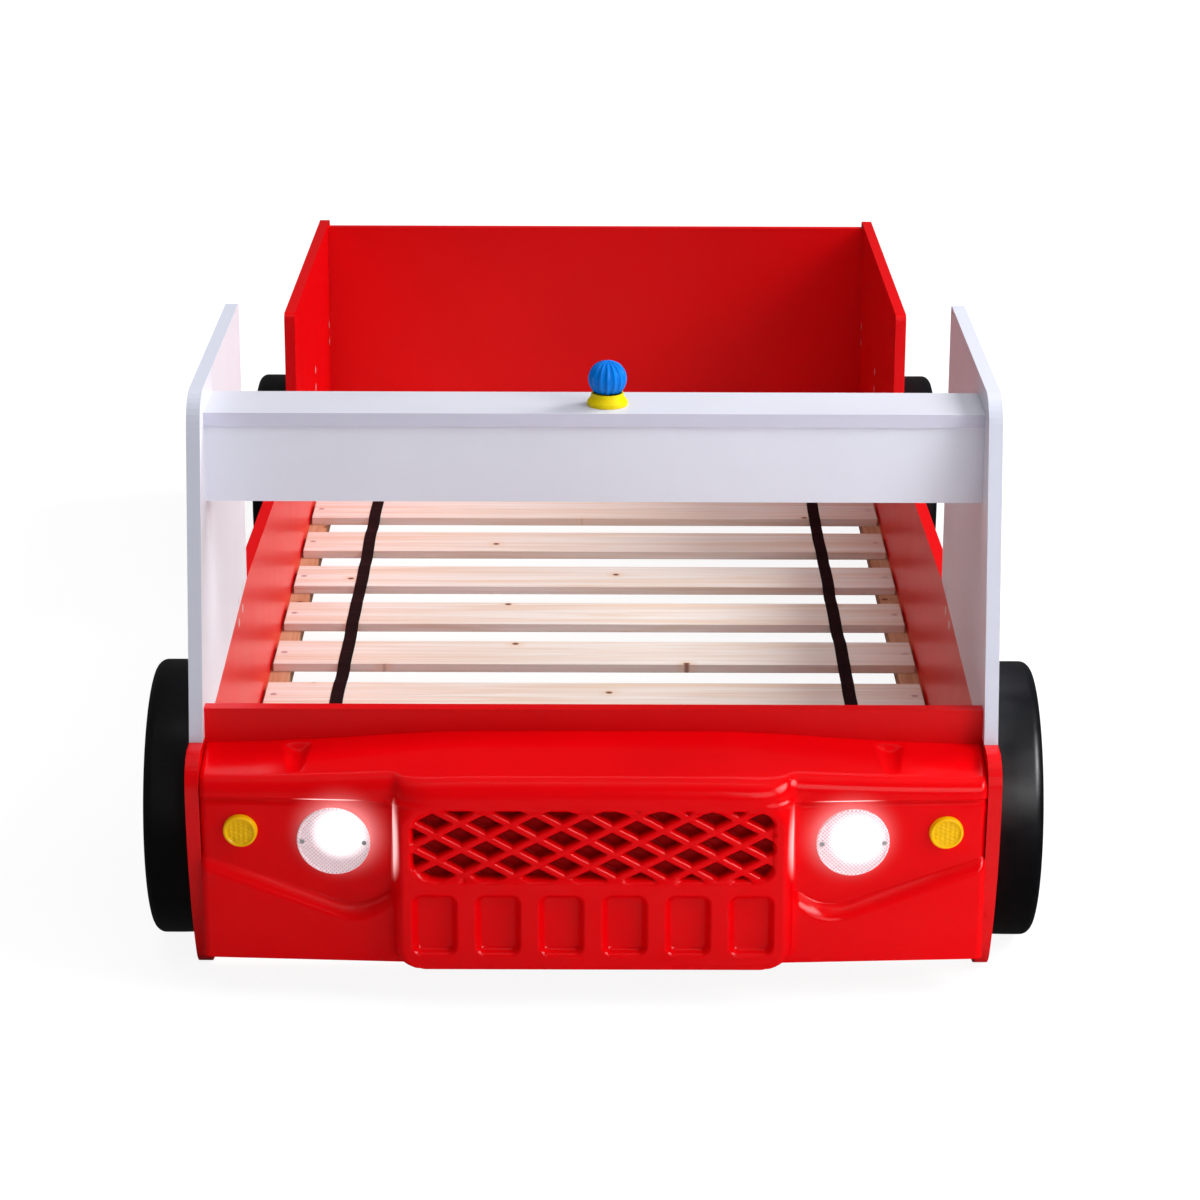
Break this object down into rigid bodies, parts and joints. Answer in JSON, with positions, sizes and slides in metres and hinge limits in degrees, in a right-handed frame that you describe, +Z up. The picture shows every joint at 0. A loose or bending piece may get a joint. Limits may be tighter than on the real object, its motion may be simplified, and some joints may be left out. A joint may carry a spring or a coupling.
{
  "type": "child bed",
  "caption": "Low child's bed shaped as a truck: flush side boards, cab sides with a roof shelf and beacon, moulded nose with lamps, four wheels, slatted base.",
  "frame": {"origin": "On the floor, at the middle of the bed's length and width.", "axes": "X across the bed, +Y from the nose to the headboard, +Z up."},
  "size_m": [1.058, 2.188, 0.7134],
  "materials": {
    "red_board": "satin lacquer",
    "white_board": "satin lacquer",
    "red_plastic": "glossy",
    "pine": "planed, bare",
    "webbing": "woven",
    "black_plastic": "satin",
    "grey_plastic": "satin",
    "yellow_plastic": "glossy",
    "blue_plastic": "glossy",
    "clear_plastic": "clear, prismatic",
    "white_plastic": "glossy",
    "led_board": "matte",
    "zinc_steel": "zinc plated",
    "box_plastic": "matte",
    "cell_sleeve": "satin"
  },
  "bodies": {
    "bed": {"side_panel_left": "red_board", "side_panel_right": "red_board", "cab_side_left": "white_board", "cab_side_right": "white_board", "rear_side_left": "red_board", "rear_side_right": "red_board", "front_board": "red_board", "headboard": "red_board", "roof_shelf": "white_board", "roof_face_board": "white_board", "beacon_base": "yellow_plastic", "beacon_globe": "blue_plastic", "beacon_screw": "zinc_steel", "nose_shell": "red_plastic", "lens_left": "clear_plastic", "lens_right": "clear_plastic", "lamp_bowl_left": "white_plastic", "lamp_bowl_right": "white_plastic", "led_board_left": "led_board", "led_board_right": "led_board", "lens_screws": "zinc_steel", "indicator_left": "yellow_plastic", "indicator_right": "yellow_plastic", "wheel_front_left": "black_plastic", "wheel_front_right": "black_plastic", "wheel_rear_left": "black_plastic", "wheel_rear_right": "black_plastic", "hub_caps": "grey_plastic", "wheel_screws": "zinc_steel", "ledger_left": "pine", "ledger_right": "pine", "ledger_screws": "zinc_steel", "slat_01": "pine", "slat_02": "pine", "slat_03": "pine", "slat_04": "pine", "slat_05": "pine", "slat_06": "pine", "slat_07": "pine", "slat_08": "pine", "slat_09": "pine", "slat_10": "pine", "slat_11": "pine", "slat_screws": "zinc_steel", "strap_left": "webbing", "strap_right": "webbing", "strap_staples": "zinc_steel", "corner_bolts": "zinc_steel", "barrel_nuts": "zinc_steel", "panel_cams": "zinc_steel", "panel_pins": "zinc_steel", "roof_screws": "zinc_steel", "nose_screws": "zinc_steel", "battery_box": "box_plastic", "battery_cells": "cell_sleeve", "box_screws": "zinc_steel"},
    "battery_cover": {"battery_cover": "box_plastic"},
    "rocker_switch": {"rocker_switch": "black_plastic"}
  },
  "joints": [
    {"name": "cover_slide", "type": "slide", "parent": "bed", "child": "battery_cover", "axis": [-1, 0, 0], "range_m": [0, 0.056]},
    {"name": "switch_rock", "type": "hinge", "parent": "bed", "child": "rocker_switch", "pos_m": [0.227, -0.9428, 0.0553], "axis": [1, 0, 0], "range_deg": [-16, 0]}
  ]
}
